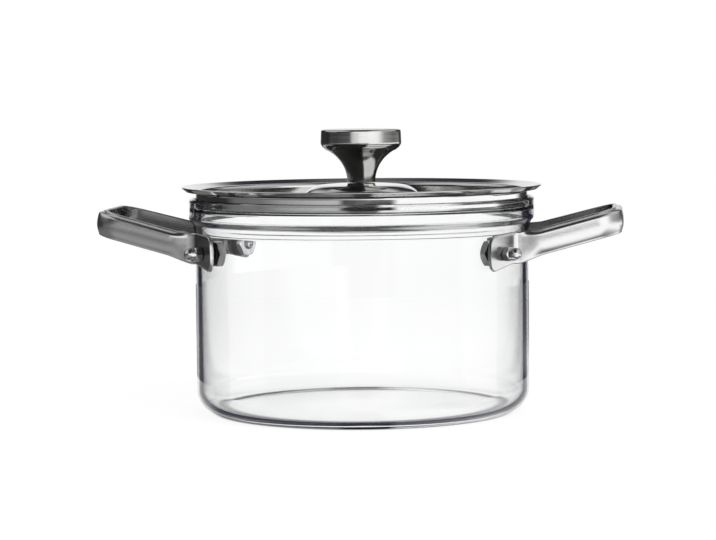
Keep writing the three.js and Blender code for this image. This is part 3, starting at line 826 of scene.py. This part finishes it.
class Nodes:
    """Short way to add and link shader nodes."""

    def __init__(self, tree):
        self.tree = tree

    def add(self, kind, inputs=None, **settings):
        node = self.tree.nodes.new(kind)
        for key, value in settings.items():
            setattr(node, key, value)
        for key, value in (inputs or {}).items():
            if isinstance(value, bpy.types.NodeSocket):
                self.tree.links.new(value, node.inputs[key])
            else:
                node.inputs[key].default_value = value
        return node

    def math(self, operation, a, b=0.0, c=0.0):
        return self.add("ShaderNodeMath", {0: a, 1: b, 2: c}, operation=operation).outputs[0]

    def mix(self, factor, a, b):
        """Blend of two colours; the colour sockets of this node are its seventh and eighth."""
        node = self.add("ShaderNodeMix", {0: factor, 6: a, 7: b}, data_type="RGBA")
        return node.outputs[2]

    def parts(self, vector):
        """X, Y and Z of a vector."""
        return self.add("ShaderNodeSeparateXYZ", {"Vector": vector}).outputs

    def ramp(self, factor, stops):
        node = self.add("ShaderNodeValToRGB", {"Fac": factor})
        elements = node.color_ramp.elements
        elements[0].position, elements[1].position = stops[0][0], stops[-1][0]
        for position, _ in stops[1:-1]:
            elements.new(position)
        for element, (_, colour) in zip(elements, stops):
            element.color = (*colour, 1.0)
        return node.outputs["Color"]


def grey(brightness):
    return brightness, brightness, brightness, 1.0


def rising(nodes, value, limits):
    """0 below the lower limit and 1 above the upper one, with a smooth rise between them."""
    inputs = {"Value": value, "From Min": limits[0], "From Max": limits[1]}
    return nodes.add("ShaderNodeMapRange", inputs, interpolation_type="SMOOTHSTEP").outputs["Result"]


# Materials


def new_material(name, **principled):
    material = bpy.data.materials.new(name)
    material.use_nodes = True
    nodes = Nodes(material.node_tree)
    shader = material.node_tree.nodes["Principled BSDF"]
    for key, value in principled.items():
        shader.inputs[key.replace("_", " ")].default_value = value
    return material, nodes, shader


def link(nodes, shader, **sockets):
    for key, socket in sockets.items():
        nodes.tree.links.new(socket, shader.inputs[key.replace("_", " ")])


def object_noise(nodes, scale, stretch=EVEN, detail=3.0):
    """Noise over the object's own coordinates, stretched per axis."""
    coords = nodes.add("ShaderNodeTexCoord").outputs["Object"]
    mapped = nodes.add("ShaderNodeMapping", {"Vector": coords, "Scale": stretch}).outputs["Vector"]
    return noise(nodes, mapped, scale, detail)


def noise(nodes, vector, scale, detail):
    inputs = {"Vector": vector, "Scale": scale, "Detail": detail}
    return nodes.add("ShaderNodeTexNoise", inputs).outputs["Fac"]


def grey_mix(nodes, factor, dark, light):
    return nodes.ramp(factor, [(NOISE_LOW, dark), (NOISE_HIGH, light)])


def level(nodes, factor, low, high):
    """Spreads a noise value over a range."""
    inputs = {"Value": factor, "From Min": NOISE_LOW, "From Max": NOISE_HIGH, "To Min": low, "To Max": high}
    return nodes.add("ShaderNodeMapRange", inputs).outputs["Result"]


def bump(nodes, height, strength, distance):
    node = nodes.add("ShaderNodeBump", {"Height": height, "Strength": strength, "Distance": distance})
    return node.outputs["Normal"]


def glass_material():
    """Clear pressed borosilicate: faint waves in the skin and a trace of handling haze."""
    material, nodes, shader = new_material(
        "clear_glass", Transmission_Weight=1.0, IOR=1.47, Specular_Tint=GLASS_SHINE
    )
    haze = object_noise(nodes, scale=18.0)
    waves = object_noise(nodes, scale=9.0, stretch=(1, 1, 0.35), detail=1.0)
    link(
        nodes,
        shader,
        Base_Color=grey_mix(nodes, haze, dark=(0.985, 0.992, 0.99), light=(1.0, 1.0, 1.0)),
        Roughness=level(nodes, haze, low=0.0, high=0.004),
        Normal=bump(nodes, waves, strength=0.04, distance=0.002),
    )
    return material


def steel_material(name, dark, light, roughness, grain, depth):
    """Stainless steel with a fine grain along one direction and soft blotches from handling."""
    material, nodes, shader = new_material(name, Metallic=1.0)
    smudge = object_noise(nodes, scale=25.0)
    lines = object_noise(nodes, scale=60.0, stretch=grain, detail=4.0)
    wear = nodes.math("MULTIPLY_ADD", smudge, 0.5, nodes.math("MULTIPLY", lines, 0.5))
    link(
        nodes,
        shader,
        Base_Color=grey_mix(nodes, wear, dark, light),
        Roughness=level(nodes, wear, *roughness),
        Normal=bump(nodes, lines, strength=depth, distance=0.0004),
    )
    return material


def painted_inside_shade(material, dark, light):
    """Painted shade: a darker steel colour on the faces that look into the handle's loop."""
    nodes = Nodes(material.node_tree)
    shader = material.node_tree.nodes["Principled BSDF"]
    steel_colour = shader.inputs["Base Color"].links[0].from_socket
    coords = nodes.add("ShaderNodeTexCoord").outputs
    spot = nodes.parts(coords["Object"])
    facing = nodes.parts(coords["Normal"])
    middle = nodes.math("MULTIPLY", nodes.math("SIGN", spot["X"]), LOOP_CENTRE * MM)
    along_x = nodes.math("MULTIPLY", nodes.math("SUBTRACT", spot["X"], middle), facing["X"])
    along_y = nodes.math("MULTIPLY", spot["Y"], facing["Y"])
    outward = rising(nodes, nodes.math("ADD", along_x, along_y), INWARD_FADE)
    inside_shade = grey_mix(nodes, object_noise(nodes, scale=30.0), dark, light)
    link(nodes, shader, Base_Color=nodes.mix(outward, inside_shade, steel_colour))


def turned_steel_material():
    """Lathe-turned steel: fine rings about the pot's axis."""
    material, nodes, shader = new_material("turned_steel", Metallic=1.0)
    spot = nodes.parts(nodes.add("ShaderNodeTexCoord").outputs["Object"])
    across = nodes.math("MULTIPLY", spot["X"], spot["X"])
    across = nodes.math("ADD", across, nodes.math("MULTIPLY", spot["Y"], spot["Y"]))
    radius = nodes.math("SQRT", across)
    turned = nodes.add("ShaderNodeCombineXYZ", {"X": radius, "Y": spot["Z"]}).outputs["Vector"]
    rings = noise(nodes, turned, scale=2600.0, detail=3.0)
    smudge = object_noise(nodes, scale=40.0)
    link(
        nodes,
        shader,
        Base_Color=grey_mix(nodes, smudge, dark=(0.49, 0.49, 0.48), light=(0.57, 0.57, 0.56)),
        Roughness=level(nodes, rings, low=0.10, high=0.18),
        Normal=bump(nodes, rings, strength=0.03, distance=0.0001),
    )
    return material


def silicone_material():
    """Dark matt silicone with a fine grain."""
    material, nodes, shader = new_material("dark_silicone", Metallic=0.0)
    grain = object_noise(nodes, scale=400.0)
    link(
        nodes,
        shader,
        Base_Color=grey_mix(nodes, grain, dark=(0.018, 0.018, 0.02), light=(0.035, 0.035, 0.037)),
        Roughness=level(nodes, grain, low=0.5, high=0.7),
        Normal=bump(nodes, grain, strength=0.3, distance=0.0002),
    )
    return material


# Studio


def ray_kinds(nodes):
    """Light Path's outputs, and four kinds of ray as 0 or 1.

    edge was mirrored, and passed through two faces of glass. steel_behind was mirrored, and passed through
    four or more. clear is any other ray that passed through glass. inside_steel was mirrored twice or more,
    and passed through none.
    """
    path = nodes.add("ShaderNodeLightPath").outputs
    glossy, through = path["Glossy Depth"], path["Transmission Depth"]
    once = nodes.math("GREATER_THAN", glossy, 0.5)
    twice = nodes.math("GREATER_THAN", glossy, 1.5)
    any_glass = nodes.math("GREATER_THAN", through, 0.5)
    no_glass = nodes.math("LESS_THAN", through, 0.5)
    more_than_one = nodes.math("GREATER_THAN", through, 1.5)
    two_faces = nodes.math("MULTIPLY", more_than_one, nodes.math("LESS_THAN", through, 2.5))
    edge = nodes.math("MULTIPLY", once, two_faces)
    steel_behind = nodes.math("MULTIPLY", once, nodes.math("GREATER_THAN", through, 3.5))
    other = nodes.math("MAXIMUM", edge, steel_behind)
    clear = nodes.math("MULTIPLY", any_glass, nodes.math("SUBTRACT", 1.0, other))
    inside_steel = nodes.math("MULTIPLY", twice, no_glass)
    return path, clear, edge, inside_steel, steel_behind


def compass(nodes, coords):
    """Turn about the pot's axis as a share of a full turn, with 0.5 towards the front, and the height."""
    parts = nodes.parts(coords)
    azimuth = nodes.math("ARCTAN2", parts["X"], nodes.math("MULTIPLY", parts["Y"], -1.0))
    return nodes.math("ADD", nodes.math("DIVIDE", azimuth, 2 * math.pi), 0.5), parts["Z"]


def by_compass(nodes, turn, stops):
    return nodes.ramp(turn, [(angle / 360 + 0.5, (v, v, v)) for angle, v in stops])


def edge_lines(nodes, turn, height):
    """What shows in the glass's edges: bright screens round the pot with darkness between them."""
    start = math.degrees(CAMERA_AZIMUTH) / 360 * EDGE_SCREENS + 0.5
    share = nodes.math("FRACT", nodes.math("SUBTRACT", nodes.math("MULTIPLY", turn, EDGE_SCREENS), start))
    across = nodes.math("MULTIPLY", nodes.math("SUBTRACT", share, 0.5), 360 / EDGE_SCREENS / EDGE_BRIGHT)
    up = nodes.math("SUBTRACT", height, math.sin(math.radians(EDGE_MIDDLE)))
    above = nodes.math("DIVIDE", up, math.sin(math.radians(EDGE_BRIGHT_RISE)))
    below = nodes.math("DIVIDE", up, -math.sin(math.radians(EDGE_BRIGHT_FALL)))
    away = nodes.math("ADD", nodes.math("ABSOLUTE", across), nodes.math("MAXIMUM", above, below))
    return nodes.mix(rising(nodes, away, EDGE_FADE), grey(EDGE_LIGHT), EDGE_DARK)


def overhead_share(nodes, direction):
    """How much of the light sky there is: only high up, over the rear and the sides."""
    parts = nodes.parts(direction)
    aside = nodes.math("ABSOLUTE", parts["X"])
    rear_up = rising(nodes, parts["Z"], REAR_SKY_UP)
    side_up = rising(nodes, parts["Z"], SIDE_SKY_UP)
    rear = nodes.math("MULTIPLY", rising(nodes, parts["Y"], REAR_SKY_BACK), rear_up)
    sides = nodes.math("MULTIPLY", rising(nodes, aside, SIDE_SKY_OUT), side_up)
    return nodes.math("MAXIMUM", rear, sides)


def studio_walls(nodes, turn, height, steel_behind):
    """The walls that the steel mirrors, with the screens before them."""
    low_walls = by_compass(nodes, turn, LOW_WALLS)
    walls = nodes.mix(rising(nodes, height, WALLS_RISE), low_walls, by_compass(nodes, turn, WALLS))
    walls = nodes.mix(steel_behind, walls, by_compass(nodes, turn, SKIRT_WALLS))
    for cover, limits, brightness in SCREENS:
        share = nodes.math("MULTIPLY", by_compass(nodes, turn, cover), rising(nodes, height, limits))
        walls = nodes.mix(share, walls, grey(brightness))
    return walls


def build_world():
    """White round about, with a studio of soft boxes and dark screens for what the steel mirrors."""
    world = bpy.data.worlds.new("studio")
    bpy.context.scene.world = world
    world.use_nodes = True
    nodes = Nodes(world.node_tree)
    world.node_tree.nodes.clear()
    direction = nodes.add("ShaderNodeTexCoord").outputs["Generated"]
    turn, height = compass(nodes, direction)
    path, clear, edge, inside_steel, steel_behind = ray_kinds(nodes)
    walls = studio_walls(nodes, turn, height, steel_behind)
    sky = nodes.mix(overhead_share(nodes, direction), CEILING, grey(OVERHEAD))
    studio = nodes.mix(rising(nodes, height, SKY_RISE), walls, sky)
    twice_low = by_compass(nodes, turn, TWICE_LOW)
    twice = nodes.mix(rising(nodes, height, TWICE_RISE), twice_low, by_compass(nodes, turn, TWICE))
    studio = nodes.mix(inside_steel, studio, twice)
    beyond = nodes.mix(rising(nodes, height, BEYOND_RISE), WHITE, CEILING)
    colour = nodes.mix(clear, studio, beyond)
    colour = nodes.mix(edge, colour, edge_lines(nodes, turn, height))
    colour = nodes.mix(path["Is Diffuse Ray"], colour, grey(MATT_LIGHT))
    colour = nodes.mix(path["Is Camera Ray"], colour, WHITE)
    background = nodes.add("ShaderNodeBackground", {"Color": colour, "Strength": 1.0})
    output = nodes.add("ShaderNodeOutputWorld")
    world.node_tree.links.new(background.outputs[0], output.inputs["Surface"])


def mirrored_floor(nodes, turn, radius, inside_steel, steel_behind):
    """What the steel mirrors of the floor: a part close to the pot, and the table further out."""
    near_table = by_compass(nodes, turn, NEAR_TABLE)
    table = nodes.mix(rising(nodes, radius, TABLE_RISE), near_table, by_compass(nodes, turn, TABLE))
    table = nodes.mix(rising(nodes, radius, DARK_RING), grey(DARK_RING_TONE), table)
    past_near = nodes.math("SUBTRACT", radius, by_compass(nodes, turn, NEAR_REACH))
    tone = nodes.mix(rising(nodes, past_near, NEAR_EDGE), by_compass(nodes, turn, NEAR_FLOOR), table)
    tone = nodes.mix(inside_steel, tone, grey(TWICE_FLOOR))
    behind_glass = by_compass(nodes, turn, BEHIND_GLASS)
    behind = nodes.mix(rising(nodes, radius, BEHIND_RISE), grey(BEHIND_MIDDLE), behind_glass)
    return nodes.mix(steel_behind, tone, behind)


def floor_material():
    """Pale floor that the camera sees as white, with the object's shadow kept and a contact shadow painted
    where the base meets it.
    """
    material = bpy.data.materials.new("pale_floor")
    material.use_nodes = True
    nodes = Nodes(material.node_tree)
    material.node_tree.nodes.clear()
    path, clear, edge, inside_steel, steel_behind = ray_kinds(nodes)
    spot = nodes.add("ShaderNodeTexCoord").outputs["Object"]
    turn, _ = compass(nodes, spot)
    radius = nodes.add("ShaderNodeVectorMath", {0: spot}, operation="LENGTH").outputs["Value"]
    in_steel = mirrored_floor(nodes, turn, radius, inside_steel, steel_behind)
    # Painted contact shadow: a dark ring on the floor where the base lifts off it, for camera rays and rays
    # through the glass.
    off_contact = nodes.math("ABSOLUTE", nodes.math("SUBTRACT", radius, BASE_FLAT * MM))
    contact_shadow = nodes.mix(rising(nodes, off_contact, CONTACT_SHADOW_FADE), CONTACT_SHADOW_TONE, WHITE)
    seen = nodes.math("MAXIMUM", path["Is Camera Ray"], clear)
    glow = nodes.add("ShaderNodeEmission", {"Color": nodes.mix(seen, in_steel, contact_shadow), "Strength": 1.0})
    pale = grey_mix(nodes, object_noise(nodes, scale=8.0), dark=(0.80, 0.80, 0.80), light=(0.82, 0.82, 0.82))
    diffuse = nodes.add("ShaderNodeBsdfDiffuse", {"Color": pale})
    fade = nodes.math("MULTIPLY_ADD", rising(nodes, radius, GLOW_RISE), 1 - GLOW_NEAR, GLOW_NEAR)
    share = nodes.math("MULTIPLY", nodes.math("SUBTRACT", 1.0, path["Is Diffuse Ray"]), fade)
    mixed = nodes.add("ShaderNodeMixShader", {0: share, 1: diffuse.outputs[0], 2: glow.outputs[0]})
    unseen = nodes.add("ShaderNodeBsdfTransparent")
    final = nodes.add("ShaderNodeMixShader", {0: edge, 1: mixed.outputs[0], 2: unseen.outputs[0]})
    output = nodes.add("ShaderNodeOutputMaterial")
    material.node_tree.links.new(final.outputs[0], output.inputs["Surface"])
    return material


def build_floor():
    turns = whole_turn(FLOOR_STEPS)
    corners = [(FLOOR_RADIUS * math.cos(a), FLOOR_RADIUS * math.sin(a), -FLOOR_DROP) for a in turns]
    floor = make_object("floor", corners, [list(range(FLOOR_STEPS))])
    floor.data.materials.append(floor_material())


def area_light(name, location, energy):
    """Round lamp that lights the object and isn't seen itself."""
    data = bpy.data.lights.new(name, "AREA")
    data.shape = "DISK"
    data.size = LIGHT_SIZE
    data.energy = energy
    light = bpy.data.objects.new(name, data)
    light.location = location
    light.rotation_euler = (Vector(LIGHT_AIM) - Vector(location)).to_track_quat("-Z", "Y").to_euler()
    light.visible_camera = False
    light.visible_glossy = False
    light.visible_transmission = False
    bpy.context.scene.collection.objects.link(light)


def build_camera():
    forward_plan = Vector((-math.sin(CAMERA_AZIMUTH), math.cos(CAMERA_AZIMUTH), 0))
    side = Vector((math.cos(CAMERA_AZIMUTH), math.sin(CAMERA_AZIMUTH), 0))
    eye = (-forward_plan * CAMERA_DISTANCE + Vector((0, 0, CAMERA_HEIGHT))) * MM
    target = (side * AIM_SIDE + Vector((0, 0, AIM_HEIGHT))) * MM
    data = bpy.data.cameras.new("camera")
    data.sensor_width = SENSOR_WIDTH
    data.lens = CAMERA_LENS
    data.clip_start = CLIP_START
    camera = bpy.data.objects.new("camera", data)
    look = (target - eye).to_track_quat("-Z", "Y").to_matrix().to_4x4()
    camera.matrix_world = Matrix.Translation(eye) @ look @ Matrix.Rotation(CAMERA_ROLL, 4, "Z")
    bpy.context.scene.collection.objects.link(camera)
    bpy.context.scene.camera = camera


# Assembly


def dress(obj, material, body, slot, *nodes):
    """Gives a piece its finish and its body, and hides the CAD nodes that it stands for."""
    obj.data.materials.clear()
    obj.data.materials.append(material)
    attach(obj, body)
    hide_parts(*nodes)


glass = glass_material()
lid_steel = steel_material(
    "lid_steel",
    dark=(0.57, 0.57, 0.565),
    light=(0.65, 0.65, 0.645),
    roughness=(0.06, 0.13),
    grain=(1, 1, 8),
    depth=0.02,
)
strap_steel = steel_material(
    "strap_steel",
    dark=(0.58, 0.58, 0.58),
    light=(0.66, 0.66, 0.66),
    roughness=(0.22, 0.30),
    grain=(1, 1, 8),
    depth=0.03,
)
fastener_steel = steel_material(
    "fastener_steel",
    dark=(0.55, 0.55, 0.56),
    light=(0.64, 0.64, 0.65),
    roughness=(0.12, 0.25),
    grain=(3, 3, 3),
    depth=0.05,
)
# Painted shade inside the handles' loops: the faces that look inward get a darker steel colour.
painted_inside_shade(strap_steel, dark=(0.17, 0.17, 0.17), light=(0.22, 0.22, 0.22))
knob_steel = turned_steel_material()
silicone = silicone_material()

dress(build_vessel(), glass, "pot", "clear_glass", "pot_body")
dress(build_lid(), lid_steel, "lid", "lid_steel", "lid_shell")
dress(build_knob(), knob_steel, "lid", "knob_steel", "lid_knob")
dress(build_washer(), fastener_steel, "lid", "fastener_steel", "knob_washer")
dress(build_screw(), fastener_steel, "lid", "fastener_steel", "knob_screw")
for side, turn in (("right", 0.0), ("left", math.pi)):
    strap = place(build_strap(f"strap_{side}"), Matrix.Rotation(turn, 4, "Z"))
    dress(strap, strap_steel, "pot", "handle_steel", f"handle_{side}")
for joint, azimuth in JOINTS.items():
    nut = place(build_nut(f"dome_nut_{joint}"), bolt_frame(azimuth))
    dress(nut, fastener_steel, "pot", "fastener_steel", f"cap_nut_{joint}")
    bolt = place(build_bolt(f"hex_bolt_{joint}"), bolt_frame(azimuth))
    dress(bolt, fastener_steel, "pot", "fastener_steel", f"bolt_{joint}")
    gasket = place(build_inner_gasket(f"sleeve_gasket_{joint}"), bolt_frame(azimuth))
    dress(gasket, silicone, "pot", "dark_silicone", f"inner_gasket_{joint}")
    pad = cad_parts[f"outer_gasket_{joint}"]
    pad.data.materials.clear()
    pad.data.materials.append(silicone)

build_world()
build_floor()
for lamp, (location, energy) in LIGHTS.items():
    area_light(lamp, location, energy)
build_camera()

bpy.context.scene.view_settings.view_transform = "Standard"
